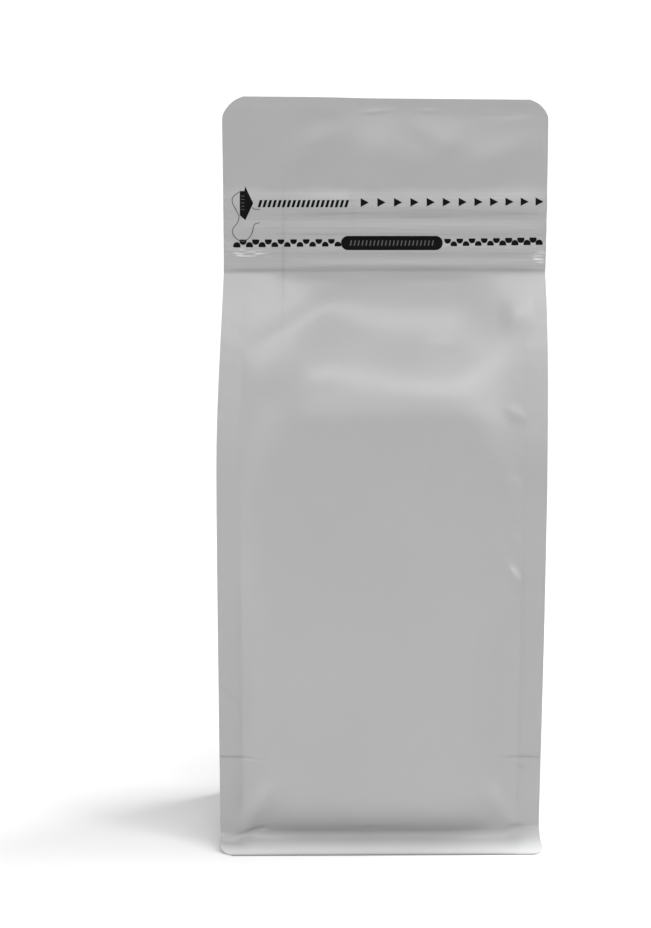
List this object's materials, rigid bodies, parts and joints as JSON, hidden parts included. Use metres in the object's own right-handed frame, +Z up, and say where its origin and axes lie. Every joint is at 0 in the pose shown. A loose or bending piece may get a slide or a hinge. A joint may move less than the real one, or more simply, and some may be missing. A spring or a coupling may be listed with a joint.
{
  "type": "flat-bottom pouch",
  "caption": "Flat-bottom side-gusset pouch of matt grey film, filled and shut, with a zipper band and a welded top, standing on its base.",
  "frame": {"origin": "on the floor, under the middle of the pouch's own box", "axes": "+Z up along the pouch's height, -Y out of the front with the zipper print, +X to the right seen from the front"},
  "size_m": [0.148, 0.09, 0.3374],
  "materials": {
    "film": "matt grey laminated film with a faint satin sheen",
    "ink": "black print under matt varnish"
  },
  "bodies": {
    "root": {"pouch": "film"}
  },
  "joints": []
}
